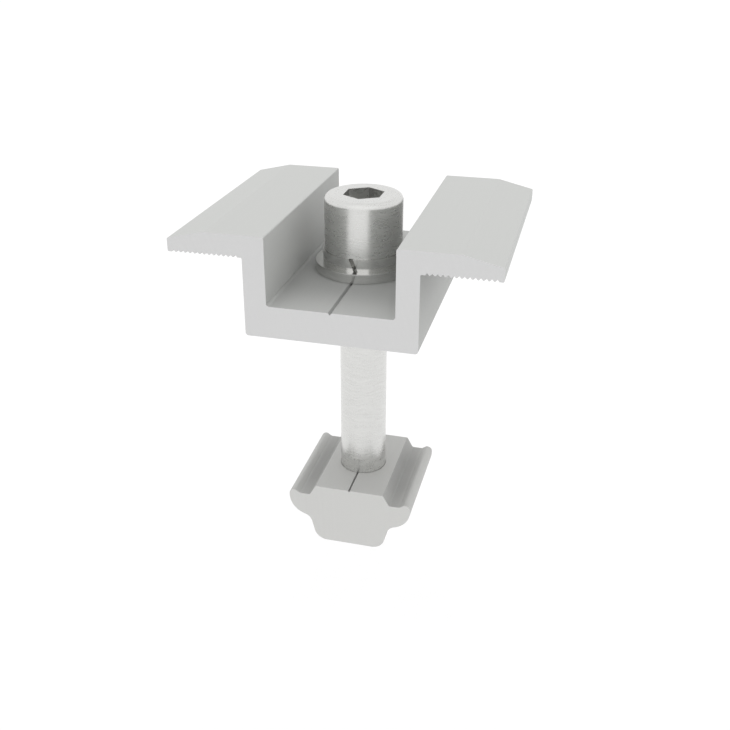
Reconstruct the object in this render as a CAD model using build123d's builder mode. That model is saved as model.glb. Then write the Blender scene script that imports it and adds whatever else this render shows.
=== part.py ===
from build123d import *
import os
from math import cos, radians, tan

# Mid clamp for framed solar panels
# A serrated channel bears on the frames of two neighbouring panels, and a cap screw pulls it down towards
# a nut that slides in the groove of a mounting rail.
# Millimetres. The screw stands on the Z axis, the two profiles were extruded along Y, and the flanges
# reach out along X. The origin is the centre of the nut's underside.

os.makedirs("parts", exist_ok=True)

# Cap screw
shank_diameter = 8.0
screw_length = 50.0
head_overhang = 2.4
head_height = 9.0
head_radius = 1.0
socket_across_flats = 6.0
socket_depth = 4.5
socket_point_angle = 120.0
screw_tip_chamfer = 1.0

# How far the screw's end is below the nut's top, as the clamp is set in the photograph
thread_engagement = 8.65

# Split spring washer and flat washer: play is the hole's diameter less the shank's
spring_washer_ring = 2.6
spring_washer_thickness = 2.0
spring_washer_play = 0.2
slit_width = 0.7
slit_slant = 21.0
flat_washer_ring = 3.8
flat_washer_thickness = 1.6
flat_washer_play = 0.4
flat_washer_radius = 0.1

# Clamp channel
clamp_length = 40.0
clamp_height = 16.0
washer_side_clearance = 1.9
wall_thickness = 3.5
floor_thickness = 5.1
flange_reach = 11.8
flange_thickness = 3.5
flange_tip_thickness = 2.1
flange_slope_run = 5.9
channel_corner_radius = 0.5
channel_rim_radius = 0.25
flange_edge_radius = 0.2
clamp_hole_play = 1.0
floor_line_width = 0.6
floor_line_depth = 0.35

# Serrations on the undersides of the flanges
tooth_pitch = 0.76
tooth_land = 0.16
tooth_depth = 0.33
tooth_end_land = 0.6

# Slide nut, whose section is set out from the tapped hole outwards and from its underside upwards
nut_length = 20.0
thread_play = 0.1
thread_chamfer = 0.2
nut_top_land = 2.0
nut_top_radius = 0.2
rail_groove_depth = 1.9
rail_groove_run = 1.05
rail_groove_floor = 1.85
rail_groove_radius = 0.4
lip_height = 0.55
lip_run = 0.8
lip_land = 0.25
lip_radius = 0.85
wing_flat = 0.3
wing_radius = 3.75
wing_slope = 17.5
wing_under_flat = 0.18
hollow_radius = 1.9
nut_base_height = 4.55
nut_flank_lean = 14.5
nut_base_radius = 2.3
nut_line_width = 0.36
nut_line_depth = 0.25


def fillet_run(radius, turn):
    """Length that a fillet takes from each of two lines that meet with a turn of so many degrees."""
    return radius * tan(radians(turn / 2))


# Diameters that follow from the shank's, and the screw's neck, which stays clear of the spring washer
head_diameter = shank_diameter + 2 * head_overhang
thread_hole = shank_diameter + thread_play
clamp_hole = shank_diameter + clamp_hole_play
spring_washer_hole = shank_diameter + spring_washer_play
spring_washer_diameter = spring_washer_hole + 2 * spring_washer_ring
neck_radius = spring_washer_play / 2
flat_washer_hole = shank_diameter + flat_washer_play
flat_washer_diameter = flat_washer_hole + 2 * flat_washer_ring

# Corners of the nut's section: X from the screw's axis, Z from the underside
nut_top_edge_x = thread_hole / 2 + nut_top_land
groove_inner_x = nut_top_edge_x + rail_groove_run
groove_outer_x = groove_inner_x + rail_groove_floor
lip_inner_x = groove_outer_x + lip_run
wing_edge_x = lip_inner_x + lip_land + lip_radius

hollow_turn = 90 - nut_flank_lean - wing_slope
wing_turn = 90 - wing_slope
wing_underside = fillet_run(hollow_radius, hollow_turn) + wing_under_flat + fillet_run(wing_radius, wing_turn)
hollow_x = wing_edge_x - wing_underside * cos(radians(wing_slope))
base_edge_x = hollow_x - nut_base_height * tan(radians(nut_flank_lean))

wing_corner_z = nut_base_height + (wing_edge_x - hollow_x) * tan(radians(wing_slope))
lip_top_z = wing_corner_z + fillet_run(wing_radius, wing_turn) + wing_flat + lip_radius
groove_floor_z = lip_top_z - lip_height
nut_top_z = groove_floor_z + rail_groove_depth

# Levels up the screw
screw_tip_z = nut_top_z - thread_engagement
head_base_z = screw_tip_z + screw_length
head_top_z = head_base_z + head_height
spring_washer_z = head_base_z - spring_washer_thickness
flat_washer_z = spring_washer_z - flat_washer_thickness
clamp_base_z = flat_washer_z - floor_thickness
clamp_top_z = clamp_base_z + clamp_height
flange_under_z = clamp_top_z - flange_thickness

# Half widths of the channel
channel_side_x = flat_washer_diameter / 2 + washer_side_clearance
wall_outside_x = channel_side_x + wall_thickness
flange_tip_x = wall_outside_x + flange_reach


# Clamp channel: an extruded bar, sawn off and drilled once through its floor
# One half of the section is drawn and mirrored. The row of notches is centred between the wall and the
# flange's tip, and takes as many notches as fit between two plain end lands.
tooth_width = tooth_pitch - tooth_land
tooth_count = round((flange_reach - 2 * tooth_end_land - tooth_width) / tooth_pitch) + 1
tooth_row_x = wall_outside_x + flange_reach / 2

with BuildPart() as clamp_profile:
    with BuildSketch(Plane.XZ):
        with BuildLine():
            FilletPolyline(
                (0, clamp_base_z),
                (wall_outside_x, clamp_base_z),
                (wall_outside_x, flange_under_z),
                (flange_tip_x, flange_under_z),
                (flange_tip_x, flange_under_z + flange_tip_thickness),
                (flange_tip_x - flange_slope_run, clamp_top_z),
                (channel_side_x, clamp_top_z),
                (channel_side_x, flat_washer_z),
                (0, flat_washer_z),
                radius=[
                    channel_corner_radius,
                    flange_edge_radius,
                    flange_edge_radius,
                    flange_edge_radius,
                    0,
                    channel_rim_radius,
                    channel_corner_radius,
                ],
            )
            Line((0, flat_washer_z), (0, clamp_base_z))
        make_face()
        with Locations((tooth_row_x, flange_under_z)):
            with GridLocations(tooth_pitch, 1, tooth_count, 1):
                Polygon((-tooth_width / 2, 0), (tooth_width / 2, 0), (0, tooth_depth), mode=Mode.SUBTRACT)
        mirror(about=Plane.YZ)
        with Locations((0, flat_washer_z)):
            Polygon(
                (-floor_line_width / 2, 0),
                (0, -floor_line_depth),
                (floor_line_width / 2, 0),
                mode=Mode.SUBTRACT,
            )
    extrude(amount=clamp_length / 2, both=True)
    with Locations((0, 0, flat_washer_z)):
        Hole(radius=clamp_hole / 2, depth=floor_thickness)

clamp_profile.part.label = "clamp_profile"
export_step(clamp_profile.part, "parts/clamp_profile.step")


# Cap screw: turned in one piece, with a hexagon socket that ends in a drill point
# Its thread is fine and runs inside the nut, so the shank here is plain at the thread's outer diameter.
socket_point_depth = socket_across_flats / 2 / tan(radians(socket_point_angle / 2))

with BuildPart() as cap_screw:
    with BuildSketch(Plane.XZ):
        with BuildLine():
            FilletPolyline(
                (0, screw_tip_z),
                (shank_diameter / 2 - screw_tip_chamfer, screw_tip_z),
                (shank_diameter / 2, screw_tip_z + screw_tip_chamfer),
                (shank_diameter / 2, head_base_z),
                (head_diameter / 2, head_base_z),
                (head_diameter / 2, head_top_z),
                (0, head_top_z),
                radius=[0, 0, neck_radius, 0, head_radius],
            )
            Line((0, head_top_z), (0, screw_tip_z))
        make_face()
    revolve(axis=Axis.Z)
    with BuildSketch(Plane.XY.offset(head_top_z)):
        RegularPolygon(radius=socket_across_flats / 2, side_count=6, major_radius=False, rotation=30)
    extrude(amount=-socket_depth, mode=Mode.SUBTRACT)
    with Locations((0, 0, head_top_z - socket_depth)):
        Cone(
            bottom_radius=0,
            top_radius=socket_across_flats / 2,
            height=socket_point_depth,
            align=(Align.CENTER, Align.CENTER, Align.MAX),
            mode=Mode.SUBTRACT,
        )

cap_screw.part.label = "cap_screw"
export_step(cap_screw.part, "parts/cap_screw.step")


# Spring washer: a square-edged steel ring, cut through at a slant, shown pressed flat
# The slit leans so that its ends dig in when the screw tries to back out.
slit_half_height = spring_washer_thickness / 2 + slit_width
slit_shift = slit_half_height * tan(radians(slit_slant))

with BuildPart() as spring_washer:
    with Locations((0, 0, spring_washer_z)):
        Cylinder(
            radius=spring_washer_diameter / 2,
            height=spring_washer_thickness,
            align=(Align.CENTER, Align.CENTER, Align.MIN),
        )
        Cylinder(
            radius=spring_washer_hole / 2,
            height=spring_washer_thickness,
            align=(Align.CENTER, Align.CENTER, Align.MIN),
            mode=Mode.SUBTRACT,
        )
    with BuildSketch(Plane.XZ):
        with Locations((0, spring_washer_z + spring_washer_thickness / 2)):
            Polygon(
                (-slit_shift - slit_width / 2, slit_half_height),
                (-slit_shift + slit_width / 2, slit_half_height),
                (slit_shift + slit_width / 2, -slit_half_height),
                (slit_shift - slit_width / 2, -slit_half_height),
            )
    extrude(amount=spring_washer_diameter, mode=Mode.SUBTRACT)

spring_washer.part.label = "spring_washer"
export_step(spring_washer.part, "parts/spring_washer.step")


# Flat washer: punched from sheet, its outer edges rounded by tumbling
with BuildPart() as flat_washer:
    with Locations((0, 0, flat_washer_z)):
        Cylinder(
            radius=flat_washer_diameter / 2,
            height=flat_washer_thickness,
            align=(Align.CENTER, Align.CENTER, Align.MIN),
        )
    fillet(flat_washer.edges().filter_by(GeomType.CIRCLE), radius=flat_washer_radius)
    with Locations((0, 0, spring_washer_z)):
        Hole(radius=flat_washer_hole / 2, depth=flat_washer_thickness)

flat_washer.part.label = "flat_washer"
export_step(flat_washer.part, "parts/flat_washer.step")


# Slide nut: an extruded bar, sawn off and tapped once through
# Its wings run under the lips of the rail, and the lips stand in the two grooves beside the top land.
with BuildPart() as slide_nut:
    with BuildSketch(Plane.XZ):
        with BuildLine():
            FilletPolyline(
                (0, 0),
                (base_edge_x, 0),
                (hollow_x, nut_base_height),
                (wing_edge_x, wing_corner_z),
                (wing_edge_x, lip_top_z),
                (lip_inner_x, lip_top_z),
                (groove_outer_x, groove_floor_z),
                (groove_inner_x, groove_floor_z),
                (nut_top_edge_x, nut_top_z),
                (0, nut_top_z),
                radius=[
                    nut_base_radius,
                    hollow_radius,
                    wing_radius,
                    lip_radius,
                    rail_groove_radius,
                    rail_groove_radius,
                    rail_groove_radius,
                    nut_top_radius,
                ],
            )
            Line((0, nut_top_z), (0, 0))
        make_face()
        mirror(about=Plane.YZ)
        with Locations((0, nut_top_z)):
            Polygon(
                (-nut_line_width / 2, 0),
                (0, -nut_line_depth),
                (nut_line_width / 2, 0),
                mode=Mode.SUBTRACT,
            )
    extrude(amount=nut_length / 2, both=True)
    with Locations((0, 0, nut_top_z)):
        Hole(radius=thread_hole / 2, depth=nut_top_z)
    chamfer(slide_nut.edges().filter_by(GeomType.CIRCLE).sort_by(Axis.Z)[0], length=thread_chamfer)

slide_nut.part.label = "slide_nut"
export_step(slide_nut.part, "parts/slide_nut.step")
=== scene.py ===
# %% [markdown]
# A mid clamp for framed solar panels: a serrated aluminium channel, a socket head cap screw with two washers,
# and a nut that slides in a rail.
# The solids come from the construction model and stay where they are. This file gives each piece the finish
# of the real one, cuts the threads of the screw and the nut, and sets up a plain studio with the camera where
# the photograph's camera stood.

# %% Load the construction model
from math import radians, tau
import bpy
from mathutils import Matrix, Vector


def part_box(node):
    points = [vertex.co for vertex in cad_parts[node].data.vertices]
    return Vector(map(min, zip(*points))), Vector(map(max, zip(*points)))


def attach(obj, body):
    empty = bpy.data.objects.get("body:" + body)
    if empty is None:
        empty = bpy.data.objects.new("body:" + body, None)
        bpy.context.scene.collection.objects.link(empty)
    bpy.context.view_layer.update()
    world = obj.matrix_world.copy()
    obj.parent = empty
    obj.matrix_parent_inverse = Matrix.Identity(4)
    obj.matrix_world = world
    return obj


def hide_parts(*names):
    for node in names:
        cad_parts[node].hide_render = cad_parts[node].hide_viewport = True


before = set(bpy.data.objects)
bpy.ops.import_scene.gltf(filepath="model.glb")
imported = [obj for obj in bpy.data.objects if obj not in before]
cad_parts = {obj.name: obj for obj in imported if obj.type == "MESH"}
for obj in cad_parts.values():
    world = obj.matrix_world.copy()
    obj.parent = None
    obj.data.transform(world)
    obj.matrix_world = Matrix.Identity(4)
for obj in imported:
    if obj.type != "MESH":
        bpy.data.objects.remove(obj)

from types import SimpleNamespace

import bmesh
import bpy
from mathutils import Vector

scene = bpy.context.scene
MM = 0.001
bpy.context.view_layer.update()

# %% [markdown]
# The camera comes first, so that every later step can be judged in the right frame.
# A camera can be matched to a photograph by eye, or worked out from straight edges and circles of known size.
# The second way was used here, and it gives an azimuth, an elevation, a place and a focal length. The
# photograph was cropped from a larger frame, so its optical axis isn't at its centre, and the shift says so.
# An unturned camera looks straight down, so it is raised by a right angle less the elevation.

# %% Camera
IMAGE_SIZE_PX = 730
FOCAL_LENGTH_PX = 942.4
OPTICAL_AXIS_PX = (359.7, 322.2)
SENSOR_MM = 36.0
NEAREST_SEEN_MM = 1.0
AZIMUTH = 14.76
ELEVATION = 24.2
CAMERA_PLACE_MM = Vector((36.71, -141.63, 104.31))

image_centre = (IMAGE_SIZE_PX - 1) / 2
camera_data = bpy.data.cameras.new("photo_camera")
camera_data.sensor_width = SENSOR_MM
camera_data.lens = FOCAL_LENGTH_PX / IMAGE_SIZE_PX * SENSOR_MM
camera_data.shift_x = (image_centre - OPTICAL_AXIS_PX[0]) / IMAGE_SIZE_PX
camera_data.shift_y = (OPTICAL_AXIS_PX[1] - image_centre) / IMAGE_SIZE_PX
camera_data.clip_start = NEAREST_SEEN_MM * MM
camera = bpy.data.objects.new("photo_camera", camera_data)
scene.collection.objects.link(camera)
camera.location = CAMERA_PLACE_MM * MM
camera.rotation_euler = (radians(90 - ELEVATION), 0, radians(AZIMUTH))
scene.camera = camera
scene.view_settings.view_transform = "Standard"
shift = (round(camera_data.shift_x, 4), round(camera_data.shift_y, 4))
print("lens of", round(camera_data.lens, 2), "mm, shifted by", shift)

# %% [markdown]
# Every finish below is a tree of nodes. One helper adds a node, sets its settings and fills its inputs, and
# an input takes either a plain value or the output of an earlier node. Colours are written as the sRGB hex
# values that a colour picker shows, and one function turns them into the linear values that a shader needs.
# A noise texture's scale counts spots per metre here, so a size in millimetres is turned over first.
# Some inputs are named by their number. A Mix node keeps a set for each kind of data: 2 and 3 are the two
# values and 0 is the result when it mixes numbers, 6 and 7 and 2 when it mixes colours.

# %% Helpers for the finishes
def linear(hex_colour):
    """sRGB hex colour as linear RGBA."""
    values = [int(hex_colour[i : i + 2], 16) / 255 for i in (1, 3, 5)]
    curve = [v / 12.92 if v <= 0.04045 else ((v + 0.055) / 1.055) ** 2.4 for v in values]
    return (*curve, 1.0)


def per_mm(size):
    """Texture scale whose spots are about this many millimetres, on coordinates in metres."""
    return 1 / (size * MM)


def add(tree, kind, inputs=None, **settings):
    """Adds a node with its settings, fills its inputs with values or nodes' outputs, and gives it back."""
    node = tree.nodes.new(kind)
    for name, value in settings.items():
        setattr(node, name, value)
    for name, value in (inputs or {}).items():
        if isinstance(value, bpy.types.NodeSocket):
            tree.links.new(value, node.inputs[name])
        else:
            node.inputs[name].default_value = value
    return node


def metal(name):
    """A new metal material, its tree, its shader, and its piece's own coordinates."""
    material = bpy.data.materials.new(name)
    material.use_nodes = True
    tree = material.node_tree
    tree.nodes.clear()
    shader = add(tree, "ShaderNodeBsdfPrincipled", {"Metallic": 1.0})
    add(tree, "ShaderNodeOutputMaterial", {"Surface": shader.outputs["BSDF"]})
    place = add(tree, "ShaderNodeTexCoord").outputs["Object"]
    return material, tree, shader, place


WHITE = linear("#FFFFFF")
BLACK = linear("#000000")
print("a mid grey of #808080 is", round(linear("#808080")[0], 3), "in linear light")

# %% [markdown]
# The patterns and the threads need to know where each piece starts and ends. Reading that from the model,
# rather than writing it down again, keeps them in place when the model changes. All are in millimetres.

# %% Sizes of the pieces
clamp_low, clamp_high = (Vector(corner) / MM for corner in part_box("clamp_profile"))
nut_high = Vector(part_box("slide_nut")[1]) / MM
washer_low, washer_high = (Vector(corner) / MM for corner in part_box("flat_washer"))
spring_high = Vector(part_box("spring_washer")[1]) / MM
screw_low, screw_high = (Vector(corner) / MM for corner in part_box("cap_screw"))
print("channel floor at", round(washer_low.z, 2), "mm, rim at", round(clamp_high.z, 2), "mm")
print("sawn at y =", round(clamp_high.y, 2), "mm on the channel,", round(nut_high.y, 2), "mm on the nut")

# %% [markdown]
# The channel and the nut are sawn from long bars of extruded aluminium. The die draws fine lines along a bar,
# and the etch that makes it matt leaves a grain over them. A sawn end has the arcs of a large blade instead.
# A picture of such a surface could be wrapped round the bar, but it would stretch and repeat. Here each mark
# is a noise of its own size. The bar runs along Y, so the noise of the die lines is stretched along Y.
# The real grain, lines and marks are a few hundredths of a millimetre wide, which is too fine to show here,
# so each is drawn as coarse as it needs to show.

# %% Relief of the bars
ETCH_GRAIN_MM = 0.3
DIE_LINE_MM = 0.35
DIE_LINE_LENGTH_MM = 35.0
SAW_MARK_MM = 0.5
SAW_BLADE_RADIUS_MM = 150.0


def bar_relief(tree, place, sawn):
    """The height of the skin's grain and die lines, and of a sawn end's grain and saw marks."""
    grain = add(tree, "ShaderNodeTexNoise", {"Vector": place, "Scale": per_mm(ETCH_GRAIN_MM), "Detail": 2.0})
    drawn_out = (1, DIE_LINE_MM / DIE_LINE_LENGTH_MM, 1)
    drawn = add(tree, "ShaderNodeMapping", {"Vector": place, "Scale": drawn_out}).outputs[0]
    lines = add(tree, "ShaderNodeTexNoise", {"Vector": drawn, "Scale": per_mm(DIE_LINE_MM), "Detail": 3.0})
    blade_centre = (SAW_BLADE_RADIUS_MM * MM, 0, 0)
    blade = add(tree, "ShaderNodeMapping", {"Vector": place, "Location": blade_centre}).outputs[0]
    radius = add(tree, "ShaderNodeVectorMath", {0: blade}, operation="LENGTH").outputs["Value"]
    arcs = {"W": radius, "Scale": per_mm(SAW_MARK_MM), "Detail": 3.0}
    marks = add(tree, "ShaderNodeTexNoise", arcs, noise_dimensions="1D")
    sides = {0: sawn, 2: lines.outputs["Fac"], 3: marks.outputs["Fac"]}
    pattern = add(tree, "ShaderNodeMix", sides, data_type="FLOAT").outputs[0]
    return add(tree, "ShaderNodeMath", {0: pattern, 1: grain.outputs["Fac"]}, operation="ADD").outputs[0]


print("die lines of", DIE_LINE_MM, "mm, etch grain of", ETCH_GRAIN_MM, "mm, saw marks of", SAW_MARK_MM, "mm")

# %% [markdown]
# The bars are anodised without colour. Bare aluminium would mirror, but the etch leaves pits far finer than a
# hair, so the skin is an even, silky grey with no clear reflection. A rough metal alone would still be
# lightest where it leans away from the eye, and a grey plastic would look chalky. The clear oxide sends back
# about half of the light before the metal can mirror it, so the skin is half of each. The bars are anodised
# first and sawn afterwards: the skin has the oxide's faintly warm tone, and the ends are bare, lighter and
# neutral. The relief is kept faint, because the real surfaces look almost plain from arm's length.
# An end is known by its place, at the piece's own lowest and highest y, so it stays with the piece when it
# moves.

# %% Anodised skin and sawn ends
END_SKIN_MM = 0.02
METAL_SHARE = 0.5
MATT_ROUGHNESS = (0.68, 0.74)
PIT_DEPTH_MM = 0.002
PIT_STRENGTH = 0.1
# Two noises added together lie nearly always between these values
TWO_NOISES = (0.6, 1.4)


def anodised_bar(name, half_length, skin_colour, end_colour):
    """Matt anodised aluminium for a bar sawn at y = half_length, with what its painted shade zones need."""
    material, tree, shader, place = metal(name)
    shader.inputs["Metallic"].default_value = METAL_SHARE
    axes = add(tree, "ShaderNodeSeparateXYZ", {0: place}).outputs
    across = add(tree, "ShaderNodeMath", {0: axes["X"]}, operation="ABSOLUTE").outputs[0]
    along = add(tree, "ShaderNodeMath", {0: axes["Y"]}, operation="ABSOLUTE").outputs[0]
    end_starts = (half_length - END_SKIN_MM) * MM
    sawn = add(tree, "ShaderNodeMath", {0: along, 1: end_starts}, operation="GREATER_THAN").outputs[0]
    skin = add(tree, "ShaderNodeMath", {0: 1.0, 1: sawn}, operation="SUBTRACT").outputs[0]

    height = bar_relief(tree, place, sawn)
    spread = {"Value": height, "From Min": TWO_NOISES[0], "From Max": TWO_NOISES[1]}
    spread |= {"To Min": MATT_ROUGHNESS[0], "To Max": MATT_ROUGHNESS[1]}
    tree.links.new(add(tree, "ShaderNodeMapRange", spread).outputs[0], shader.inputs["Roughness"])
    pits = {"Height": height, "Strength": PIT_STRENGTH, "Distance": PIT_DEPTH_MM * MM}
    tree.links.new(add(tree, "ShaderNodeBump", pits).outputs["Normal"], shader.inputs["Normal"])
    tones = {"Factor": sawn, 6: linear(skin_colour), 7: linear(end_colour)}
    tone = add(tree, "ShaderNodeMix", tones, data_type="RGBA").outputs[2]
    return SimpleNamespace(
        material=material,
        tree=tree,
        shader=shader,
        across=across,
        along=along,
        axes=axes,
        skin=skin,
        tone=tone,
    )


clamp_bar = anodised_bar("anodised_clamp_profile", clamp_high.y, "#D0D1CF", "#DEDEDE")
# the nut's tones are darker than the channel's as painted shade, for the shade of the channel above it
nut_bar = anodised_bar("anodised_slide_nut", nut_high.y, "#C9C9C7", "#DADAD8")
print("aluminium finishes:", clamp_bar.material.name, "and", nut_bar.material.name)

# %% [markdown]
# In a groove, round the washer and under a flange, the skin is made darker than its own tone. This is painted
# shade, put where shade falls in these recesses, and it also makes a groove easy to read. The shade could be
# painted from an image, but then it would need a map of the surface. Here a zone is worked out from the place
# on the piece: between two distances from the middle plane and between two heights. Inside it a share of
# black is mixed into the tone, and the share can fade from one place to another.

# %% Painted shade zones
# Below every distance, so that a zone which starts here has no gap at the middle plane
MIDDLE_MM = -1.0


def between(tree, value, low, high):
    """1 where a value in metres lies between two sizes in millimetres, else 0."""
    over = add(tree, "ShaderNodeMath", {0: value, 1: low * MM}, operation="GREATER_THAN").outputs[0]
    under = add(tree, "ShaderNodeMath", {0: value, 1: high * MM}, operation="LESS_THAN").outputs[0]
    return add(tree, "ShaderNodeMath", {0: over, 1: under}, operation="MULTIPLY").outputs[0]


def fading(tree, value, start, end, first, last):
    """A share that goes smoothly from first to last, from one place in millimetres to another."""
    stretch = {"Value": value, "From Min": start * MM, "From Max": end * MM, "To Min": first, "To Max": last}
    return add(tree, "ShaderNodeMapRange", stretch, interpolation_type="SMOOTHSTEP").outputs[0]


def blackened(tree, tone, share, *factors):
    """A tone with black mixed in, by a share times some factors."""
    for factor in factors:
        share = add(tree, "ShaderNodeMath", {0: share, 1: factor}, operation="MULTIPLY").outputs[0]
    colours = {"Factor": share, 6: tone, 7: BLACK}
    return add(tree, "ShaderNodeMix", colours, data_type="RGBA").outputs[2]


def paint_shade(bar, across, heights, *shares):
    """Paints shade on a bar's skin in a zone across the bar and up it, by the product of some shares."""
    inside = between(bar.tree, bar.across, *across)
    level = between(bar.tree, bar.axes["Z"], *heights)
    # the share of black mixed in here is painted shade
    bar.tone = blackened(bar.tree, bar.tone, *shares, inside, level, bar.skin)


print("zones of the channel are measured from x = 0 and y = 0, up to", round(clamp_high.x, 2), "mm across")

# %% [markdown]
# The channel's floor gets painted shade, most round the washer and towards both corners. The light alone
# makes the floor darker than the rims, but in the photograph it is darker still, so the painted shade takes
# up the rest. The scribed line along the floor gets painted shade too, so that it looks almost drawn.

# %% The channel's floor and its line
WASHER_SIDE_CLEARANCE_MM = 1.9
ZONE_MARGIN_MM = 0.1
UNDER_FACE_MM = 0.5
floor_z = washer_low.z
channel_half = washer_high.x + WASHER_SIDE_CLEARANCE_MM
inside_channel = (MIDDLE_MM, channel_half + ZONE_MARGIN_MM)

# Most of the rounded corner between the floor and a wall counts as floor
FLOOR_CORNER_MM = 0.4
FLOOR_SHADE_FROM_MM = 9.0
FLOOR_PAINTED_SHADE = (0.34, 0.14)
CORNER_FADE_MM = (6.0, 9.7)
CORNER_GAIN = (1.0, 1.2)
floor_edge = floor_z + FLOOR_CORNER_MM
# painted shade on the channel's floor, strongest round the washer and towards the walls
round_washer = fading(clamp_bar.tree, clamp_bar.along, FLOOR_SHADE_FROM_MM, clamp_high.y, *FLOOR_PAINTED_SHADE)
towards_wall = fading(clamp_bar.tree, clamp_bar.across, *CORNER_FADE_MM, *CORNER_GAIN)
paint_shade(clamp_bar, inside_channel, (floor_z - UNDER_FACE_MM, floor_edge), round_washer, towards_wall)

# painted shade in the scribed line along the floor
FLOOR_LINE_HALF_MM = 0.35
FLOOR_LINE_PAINTED_SHADE = 0.2
LINE_STARTS_MM = 0.02
floor_line = (floor_z - UNDER_FACE_MM, floor_z - LINE_STARTS_MM)
paint_shade(clamp_bar, (MIDDLE_MM, FLOOR_LINE_HALF_MM), floor_line, FLOOR_LINE_PAINTED_SHADE)
print("channel floor reaches x =", round(channel_half, 2), "mm")

# %% [markdown]
# The channel's inner walls get a little painted shade at their base, and more towards the back end, at the
# higher y. The outer walls get more painted shade upwards, and the undersides of the flanges get the most.
# One even tone would be simpler, but then the walls would look lit from inside.

# %% The channel's walls and flanges
WALL_MM = 3.5
FLANGE_MM = 3.5
# painted shade on the inner walls, more towards the back end and at their base
INNER_WALL_PAINTED_SHADE = (0.02, 0.17)
WALL_FOOT_MM = 5.0
WALL_FOOT_PAINTED_SHADE = (0.05, 0.0)
shade_towards_back = fading(clamp_bar.tree, clamp_bar.axes["Y"], clamp_low.y, clamp_high.y, *INNER_WALL_PAINTED_SHADE)
wall_foot = (floor_edge, floor_edge + WALL_FOOT_MM)
foot = fading(clamp_bar.tree, clamp_bar.axes["Z"], *wall_foot, *WALL_FOOT_PAINTED_SHADE)
wall_share = add(clamp_bar.tree, "ShaderNodeMath", {0: shade_towards_back, 1: foot}, operation="ADD").outputs[0]
paint_shade(clamp_bar, inside_channel, (floor_edge, clamp_high.z - ZONE_MARGIN_MM), wall_share)

# painted shade on the outer walls, stronger upwards and strongest under the flanges
OUTER_WALL_PAINTED_SHADE = (0.11, 0.25)
wall_half = channel_half + WALL_MM
flange_under = clamp_high.z - FLANGE_MM
under_flange = (wall_half - ZONE_MARGIN_MM, clamp_high.x - ZONE_MARGIN_MM)
up_wall = fading(clamp_bar.tree, clamp_bar.axes["Z"], clamp_low.z, flange_under, *OUTER_WALL_PAINTED_SHADE)
paint_shade(clamp_bar, under_flange, (clamp_low.z, flange_under + UNDER_FACE_MM), up_wall)
clamp_bar.tree.links.new(clamp_bar.tone, clamp_bar.shader.inputs["Base Color"])
print("walls reach x =", round(wall_half, 2), "mm, and the flanges start", round(flange_under, 2), "mm up")

# %% [markdown]
# The nut has a rail groove on each side of its land. A groove gets the most painted shade in the middle of
# the nut's length, and the shade fades out over the lip. The line along the land gets painted shade too,
# narrower and blacker than the channel's.

# %% The nut's painted shade
RAIL_GROOVE_MM = (6.0, 10.0)
RAIL_GROOVE_DEPTH_MM = 1.9
# painted shade in the rail grooves, fading out over the lip
RAIL_GROOVE_PAINTED_SHADE = (0.32, 0.2)
GROOVE_SHADE_PART = 0.3
LIP_FADE_MM = (8.3, 9.6)
LIP_GAIN = (1.0, 0.2)
LAND_SKIN_MM = 0.01
groove_end = nut_high.y
groove_middle = GROOVE_SHADE_PART * groove_end
groove_share = fading(nut_bar.tree, nut_bar.along, groove_middle, groove_end, *RAIL_GROOVE_PAINTED_SHADE)
lip_share = fading(nut_bar.tree, nut_bar.across, *LIP_FADE_MM, *LIP_GAIN)
groove_floor = nut_high.z - RAIL_GROOVE_DEPTH_MM
groove_heights = (groove_floor - ZONE_MARGIN_MM, nut_high.z - LAND_SKIN_MM)
paint_shade(nut_bar, RAIL_GROOVE_MM, groove_heights, groove_share, lip_share)

# painted shade in the line along the nut's land
NUT_LINE_HALF_MM = 0.2
NUT_LINE_PAINTED_SHADE = 0.5
nut_line = (nut_high.z - UNDER_FACE_MM, nut_high.z - LINE_STARTS_MM)
paint_shade(nut_bar, (MIDDLE_MM, NUT_LINE_HALF_MM), nut_line, NUT_LINE_PAINTED_SHADE)
nut_bar.tree.links.new(nut_bar.tone, nut_bar.shader.inputs["Base Color"])
print("rail grooves of the nut down to", round(groove_floor, 2), "mm")

# %% [markdown]
# The screw and the nut get new meshes, with threads. They are made as bmesh solids, which can be cut, joined
# and merged before they become meshes. The construction model's own meshes are loose triangles, and a loose
# triangle can't be cut or shaded together with its neighbours, so a copy of such a mesh is merged first.

# %% Helpers for solids
MERGE_MM = 0.001


def merged_copy(name):
    """A copy of a node's mesh as one closed solid."""
    solid = bmesh.new()
    solid.from_mesh(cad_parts[name].data)
    bmesh.ops.remove_doubles(solid, verts=solid.verts, dist=MERGE_MM * MM)
    return solid


def cut_flat(solid, height, above):
    """Cuts a closed solid flat at a height, drops what is above or below it, and closes the cut."""
    parts = solid.verts[:] + solid.edges[:] + solid.faces[:]
    sides = {"clear_outer": above, "clear_inner": not above}
    place = (0, 0, height * MM)
    cut = bmesh.ops.bisect_plane(solid, geom=parts, plane_co=place, plane_no=(0, 0, 1), **sides)
    edges = [part for part in cut["geom_cut"] if isinstance(part, bmesh.types.BMEdge)]
    bmesh.ops.contextual_create(solid, geom=edges)


def into_mesh(solid, name):
    """Turns a solid into a mesh and frees it."""
    mesh = bpy.data.meshes.new(name)
    solid.to_mesh(mesh)
    solid.free()
    return mesh


print("the model's cap screw has", len(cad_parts["cap_screw"].data.polygons), "faces")

# %% [markdown]
# The real screw's end is threaded, M8 with a pitch of 1.25 mm, and the nut's hole is tapped to suit. The
# construction model leaves both threads off, so they are added here.
# A thread could be drawn with a bump map, but that would leave its outline straight. Here the outline of one
# tooth is spun round the axis and climbs by one pitch a turn, each turn is merged with the next, and the ends
# are cut flat. That gives a closed solid, good for adding and for cutting away. A tooth is flat at its root
# for a quarter of the pitch and at its crest for an eighth, and its two flanks share the rest.

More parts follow.
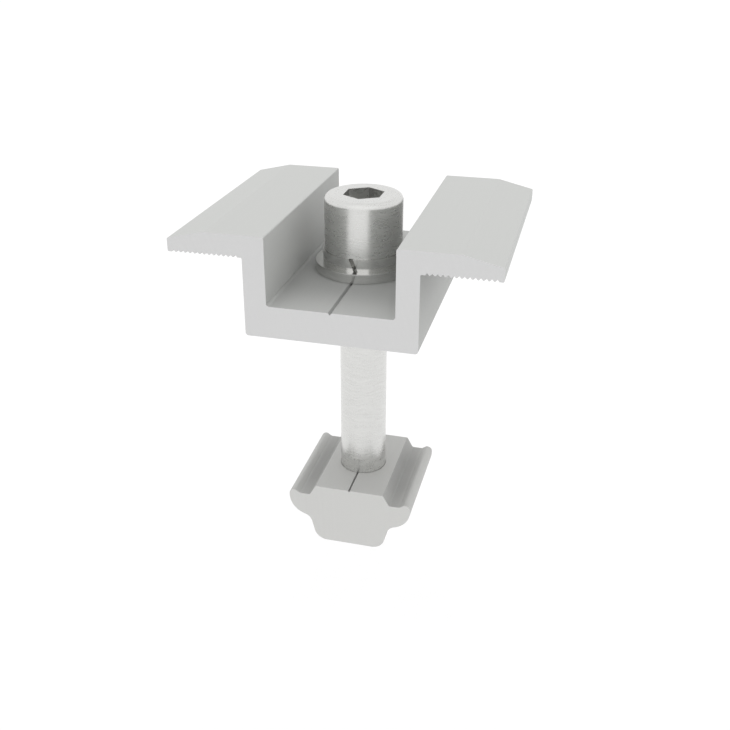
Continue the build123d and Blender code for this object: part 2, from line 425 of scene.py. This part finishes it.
# %% A solid thread
THREAD_PITCH_MM = 1.25
DEPTH_PER_PITCH = 0.541
ROOT_FLAT = 1 / 4
CREST_FLAT = 1 / 8
FLANK = (1 - ROOT_FLAT - CREST_FLAT) / 2
STEPS_PER_TURN = 48


def solid_thread(crest, low, high):
    """A solid right-handed thread round the Z axis, with this crest radius, between two heights."""
    root = crest - DEPTH_PER_PITCH * THREAD_PITCH_MM
    start = low - THREAD_PITCH_MM
    turns = int((high - start) / THREAD_PITCH_MM) + 1
    crest_start = ROOT_FLAT + FLANK
    crest_end = crest_start + CREST_FLAT
    outline = [(root, 0), (root, ROOT_FLAT), (crest, crest_start), (crest, crest_end), (root, 1)]
    solid = bmesh.new()
    places = [(radius * MM, 0, (start + rise * THREAD_PITCH_MM) * MM) for radius, rise in outline]
    points = [solid.verts.new(place) for place in places]
    lines = [solid.edges.new(pair) for pair in zip(points, points[1:])]
    climb = (0, 0, THREAD_PITCH_MM * MM / STEPS_PER_TURN)
    steps = STEPS_PER_TURN * turns
    bmesh.ops.spin(solid, geom=points + lines, axis=(0, 0, 1), dvec=climb, angle=tau * turns, steps=steps)
    bmesh.ops.remove_doubles(solid, verts=solid.verts, dist=MERGE_MM * MM)
    cut_flat(solid, high, above=True)
    cut_flat(solid, low, above=False)
    bmesh.ops.recalc_face_normals(solid, faces=solid.faces)
    return solid


print("thread", round(DEPTH_PER_PITCH * THREAD_PITCH_MM, 3), "mm deep, pitch of", THREAD_PITCH_MM, "mm")

# %% [markdown]
# A piece that gets a thread takes the place of the construction model's own, with the same surface elsewhere.
# Its curved faces are shaded smooth and its corners stay sharp, and flat faces keep a flat shading up to
# their rounded edges.

# %% Pieces in place of the construction model's own
SHARP_CORNER_DEGREES = 30


def place_piece(solid, name, node, body):
    """Makes a piece of a solid, to stand for a node."""
    bmesh.ops.recalc_face_normals(solid, faces=solid.faces)
    for face in solid.faces:
        face.smooth = True
    for edge in solid.edges:
        edge.smooth = edge.calc_face_angle(0) < radians(SHARP_CORNER_DEGREES)
    piece = bpy.data.objects.new(name, into_mesh(solid, name))
    scene.collection.objects.link(piece)
    weighted = piece.modifiers.new("flat_faces_stay_flat", "WEIGHTED_NORMAL")
    weighted.keep_sharp = True
    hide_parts(node)
    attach(piece, body)
    print(name, "has", len(piece.data.polygons), "faces and stands for", node)
    return piece


print("edges that turn by", SHARP_CORNER_DEGREES, "degrees or more stay sharp")

# %% [markdown]
# The photograph shows a plain shank down to the nut, so the thread is cut only where the nut holds the screw.
# It shows when the nut is run up or down. Its tip is turned to a cone, so that a nut starts easily: each
# point near the tip moves in towards the axis where it would stand out of the cone. The thread reaches a
# little way into the shank, and there its crests lie just inside the shank's surface.

# %% Screw with a threaded end
CREST_RADIUS_MM = 3.95
TIP_RADIUS_MM = 3.0
THREAD_UNDER_NUT_TOP_MM = 0.1
THREAD_OVERLAP_MM = 0.3
thread_top = nut_high.z - THREAD_UNDER_NUT_TOP_MM

thread = solid_thread(CREST_RADIUS_MM, screw_low.z, thread_top + THREAD_OVERLAP_MM)
for point in thread.verts:
    limit = TIP_RADIUS_MM * MM + point.co.z - screw_low.z * MM
    reach = point.co.xy.length
    if reach > limit:
        point.co.xy *= limit / reach
shank = merged_copy("cap_screw")
cut_flat(shank, thread_top, above=False)
shank.from_mesh(into_mesh(thread, "screw_thread"))
cap_screw = place_piece(shank, "threaded_cap_screw", "cap_screw", "screw")

# %% [markdown]
# The nut's thread is seen only from below, past the end of the screw, so two and a half turns are enough.
# They are cut outwards from the plain hole, because the plain shank has to pass through it when the nut is
# run up.

# %% Nut with a tapped hole
TAPPED_CREST_MM = 4.6
TAP_STARTS_MM = -1.0
TAPPED_HEIGHT_MM = 3.2
nut = bpy.data.objects.new("plain_nut", into_mesh(merged_copy("slide_nut"), "plain_nut"))
tap_thread = solid_thread(TAPPED_CREST_MM, TAP_STARTS_MM, TAPPED_HEIGHT_MM)
tap = bpy.data.objects.new("tap", into_mesh(tap_thread, "tap"))
for tool in (nut, tap):
    scene.collection.objects.link(tool)
cutting = nut.modifiers.new("tapping", "BOOLEAN")
cutting.operation = "DIFFERENCE"
cutting.solver = "EXACT"
cutting.object = tap
tapped = bmesh.new()
tapped.from_mesh(nut.evaluated_get(bpy.context.evaluated_depsgraph_get()).data)
for tool in (nut, tap):
    bpy.data.objects.remove(tool)
slide_nut = place_piece(tapped, "tapped_slide_nut", "slide_nut", "nut")

# %% [markdown]
# Turning and polishing leave short, fine strokes round the screw, as rings on its side and as circles on its
# flat top. The strokes could follow an angle, but an angle jumps where it closes. Here a noise is squeezed
# along one length only, the distance from the axis less the height: round the screw that length stays the
# same, so the strokes run round it without a seam. A slow wobble lets them wander and cross a little, as a
# hand-held polishing belt does, and an even grain lies over them.
# The real strokes and grain are under a tenth of a millimetre wide, which is too fine to show here, so both
# are drawn as coarse as they need to show.

# %% Relief of the steel
STROKE_WIDTH_MM = 0.3
STROKE_LENGTH_MM = 3.0
WOBBLE_MM = 2.5
WOBBLE_SIZE_MM = 5.0
GRAIN_MM = 0.25
GRAIN_SHARE = 0.3


def stroke_relief(tree, place, axes, from_axis):
    """The height of strokes that run round the Z axis, with an even grain."""
    outward = add(tree, "ShaderNodeMath", {0: from_axis, 1: axes["Z"]}, operation="SUBTRACT").outputs[0]
    slow = {"Vector": place, "Scale": per_mm(WOBBLE_SIZE_MM), "Detail": 1.0}
    wander = add(tree, "ShaderNodeTexNoise", slow)
    shifted = {0: wander.outputs["Fac"], 1: WOBBLE_MM * MM, 2: outward}
    row = add(tree, "ShaderNodeMath", shifted, operation="MULTIPLY_ADD").outputs[0]
    squeeze = STROKE_LENGTH_MM / STROKE_WIDTH_MM
    squeezed = add(tree, "ShaderNodeMath", {0: row, 1: squeeze}, operation="MULTIPLY").outputs[0]
    round_axis = {"X": axes["X"], "Y": axes["Y"], "Z": squeezed}
    along = add(tree, "ShaderNodeCombineXYZ", round_axis).outputs[0]
    fine = {"Vector": along, "Scale": per_mm(STROKE_LENGTH_MM), "Detail": 4.0}
    strokes = add(tree, "ShaderNodeTexNoise", fine)
    grain = add(tree, "ShaderNodeTexNoise", {"Vector": place, "Scale": per_mm(GRAIN_MM), "Detail": 1.0})
    parts = {"Factor": GRAIN_SHARE, 2: strokes.outputs["Fac"], 3: grain.outputs["Fac"]}
    return add(tree, "ShaderNodeMix", parts, data_type="FLOAT").outputs[0]


print("strokes of", STROKE_WIDTH_MM, "by", STROKE_LENGTH_MM, "mm, with a grain of", GRAIN_MM, "mm")

# %% [markdown]
# The screw is bright stainless steel, turned and then polished lightly, so it mirrors the channel softly. An
# even metal would look drawn rather than made. Here the higher spots are a little lighter and rougher, and a
# bump follows the strokes. The same recipe does for the washers, whose upper rims also get painted shade.

# %% Turned and polished stainless steel
STROKE_DEPTH_MM = 0.01
PAST_EVERY_RIM_MM = 5.0
# One noise lies nearly always between these values
ONE_NOISE = (0.35, 0.65)


def polished_steel(name, dark, light, roughness, stroke_strength, rim=None):
    """Stainless steel with strokes round the Z axis. A rim is a radius, a height and its share of black,
    mixed in as painted shade.
    """
    material, tree, shader, place = metal(name)
    axes = add(tree, "ShaderNodeSeparateXYZ", {0: place}).outputs
    flat = add(tree, "ShaderNodeMapping", {"Vector": place, "Scale": (1, 1, 0)}).outputs[0]
    from_axis = add(tree, "ShaderNodeVectorMath", {0: flat}, operation="LENGTH").outputs["Value"]
    height = stroke_relief(tree, place, axes, from_axis)

    spread = {"Value": height, "From Min": ONE_NOISE[0], "From Max": ONE_NOISE[1]}
    raised = add(tree, "ShaderNodeMapRange", spread).outputs[0]
    tones = {"Factor": raised, 6: linear(dark), 7: linear(light)}
    tone = add(tree, "ShaderNodeMix", tones, data_type="RGBA").outputs[2]
    spread |= {"To Min": roughness[0], "To Max": roughness[1]}
    tree.links.new(add(tree, "ShaderNodeMapRange", spread).outputs[0], shader.inputs["Roughness"])
    relief = {"Height": height, "Strength": stroke_strength, "Distance": STROKE_DEPTH_MM * MM}
    tree.links.new(add(tree, "ShaderNodeBump", relief).outputs["Normal"], shader.inputs["Normal"])
    # a rim gets painted shade, a share of black in its tone
    if rim:
        radius, rim_height, rim_shade = rim
        outside = between(tree, from_axis, radius, radius + PAST_EVERY_RIM_MM)
        over = between(tree, axes["Z"], rim_height, rim_height + PAST_EVERY_RIM_MM)
        tone = blackened(tree, tone, rim_shade, outside, over)
    tree.links.new(tone, shader.inputs["Base Color"])
    return material


screw_steel = polished_steel("turned_stainless_steel", "#D3D3D1", "#DDDDDB", (0.25, 0.34), 0.8)
print("steel finish:", screw_steel.name)

# %% [markdown]
# The washers are of the same steel, one stamped from rolled sheet and one coiled from rolled wire, and they
# are smoother than the screw. In the photograph the upper rim of each looks darker, so each rim gets painted
# shade. The flat washer's edge is rounded, and its painted shade starts where the rounding does. The spring
# washer has a square edge and is a little wider than the screw's head, so its rim is what shows beside the
# head.

# %% Rolled stainless steel
ROLLED = ("#D5D5D3", "#DFDFDD", (0.13, 0.2), 0.5)
FLAT_EDGE_MM = 0.12
FLAT_RIM_PAINTED_SHADE = 0.4
HEAD_EDGE_MM = 0.1
SPRING_FACE_MM = 0.01
SPRING_RIM_PAINTED_SHADE = 0.25
# painted shade on the flat washer's rounded upper rim
flat_rim = (washer_high.x - FLAT_EDGE_MM, washer_high.z - FLAT_EDGE_MM, FLAT_RIM_PAINTED_SHADE)
flat_steel = polished_steel("rolled_stainless_steel_flat_washer", *ROLLED, flat_rim)
# painted shade on the spring washer's rim beside the head
spring_rim = (screw_high.x - HEAD_EDGE_MM, spring_high.z - SPRING_FACE_MM, SPRING_RIM_PAINTED_SHADE)
spring_steel = polished_steel("rolled_stainless_steel_spring_washer", *ROLLED, spring_rim)
print("washer finishes:", flat_steel.name, "and", spring_steel.name)

# %% [markdown]
# Each piece gets its finish in place of the plain one that the construction model came with. The two bars
# share one recipe with their own tones, and so do the two washers, whose rims lie at different heights.

# %% Give each piece its finish
finishes = {
    "clamp_profile": clamp_bar.material,
    "slide_nut": nut_bar.material,
    "cap_screw": screw_steel,
    "spring_washer": spring_steel,
    "flat_washer": flat_steel,
}
threaded = {"cap_screw": cap_screw, "slide_nut": slide_nut}
for name, material in finishes.items():
    mesh = threaded.get(name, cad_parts[name]).data
    mesh.materials.clear()
    mesh.materials.append(material)
    print(name, "has", material.name)

# %% [markdown]
# The clamp hangs in the air in the photograph, as it hangs on two panel frames in use, so nothing stands
# under it and no hard shadow shows. A white paper floor well below keeps a soft shadow and gives the metal
# something pale to mirror from below. It is modelled as one large square rather than as part of the sky,
# because only a real surface takes a shadow. The paper itself is light grey. It glows a little for rays that
# come from the camera or from metal, so that it looks white there, and the glow adds no light to the object.

# %% Floor
FLOOR_DROP_MM = 30.0
FLOOR_HALF_MM = 3000.0
sheet = bmesh.new()
bmesh.ops.create_grid(sheet, x_segments=1, y_segments=1, size=FLOOR_HALF_MM * MM)
bmesh.ops.translate(sheet, vec=(0, 0, -FLOOR_DROP_MM * MM), verts=sheet.verts)
floor = bpy.data.objects.new("studio_floor", into_mesh(sheet, "studio_floor"))
scene.collection.objects.link(floor)

PAPER_COLOUR = "#D3D3D3"
GLOW = 0.38
paper = bpy.data.materials.new("white_paper_floor")
paper.use_nodes = True
tree = paper.node_tree
tree.nodes.clear()
ray = add(tree, "ShaderNodeLightPath").outputs
seen = add(tree, "ShaderNodeMath", {0: ray["Is Camera Ray"], 1: ray["Is Glossy Ray"]}, operation="MAXIMUM")
seen = add(tree, "ShaderNodeMath", {0: seen.outputs[0], 1: ray["Is Transmission Ray"]}, operation="MAXIMUM")
glow = add(tree, "ShaderNodeMath", {0: seen.outputs[0], 1: GLOW}, operation="MULTIPLY")
diffuse = add(tree, "ShaderNodeBsdfDiffuse", {"Color": linear(PAPER_COLOUR)})
emission = add(tree, "ShaderNodeEmission", {"Strength": glow.outputs[0]})
both = add(tree, "ShaderNodeAddShader", {0: diffuse.outputs[0], 1: emission.outputs[0]})
add(tree, "ShaderNodeOutputMaterial", {"Surface": both.outputs[0]})
floor.data.materials.append(paper)
print("floor at", -FLOOR_DROP_MM, "mm, paper of", PAPER_COLOUR, "with a glow of", GLOW)

# %% [markdown]
# The light is that of a white studio tent: about the same from everywhere, at a level where a colour renders
# as it is written. The photograph's screw head has a brighter front rim, which asks for one large softbox
# above the camera, so the tent is a little brighter there. Area lamps could do the same, but polished steel
# would mirror their edges. The softbox is full up to about 30 degrees from its middle and ends at about 50.
# Its edge is written as the cosines of these angles, because that is what a dot product gives.

# %% Light
TENT_LEVEL = 1.0
SOFTBOX_GAIN = 0.12
SOFTBOX_TOWARDS = Vector((0.1, -0.75, 0.65)).normalized()
SOFTBOX_EDGE = (0.64, 0.87)
world = bpy.data.worlds.new("studio_tent")
scene.world = world
world.use_nodes = True
tree = world.node_tree
tree.nodes.clear()
direction = add(tree, "ShaderNodeTexCoord").outputs["Generated"]
facing = add(tree, "ShaderNodeVectorMath", {0: direction, 1: SOFTBOX_TOWARDS}, operation="DOT_PRODUCT")
edge = {"Value": facing.outputs["Value"], "From Min": SOFTBOX_EDGE[0], "From Max": SOFTBOX_EDGE[1]}
edge |= {"To Min": TENT_LEVEL, "To Max": TENT_LEVEL + SOFTBOX_GAIN}
level = add(tree, "ShaderNodeMapRange", edge, interpolation_type="SMOOTHSTEP").outputs[0]
sky = add(tree, "ShaderNodeBackground", {"Color": WHITE, "Strength": level})
add(tree, "ShaderNodeOutputWorld", {"Surface": sky.outputs[0]})
print("tent at", TENT_LEVEL, "and softbox at", TENT_LEVEL + SOFTBOX_GAIN)
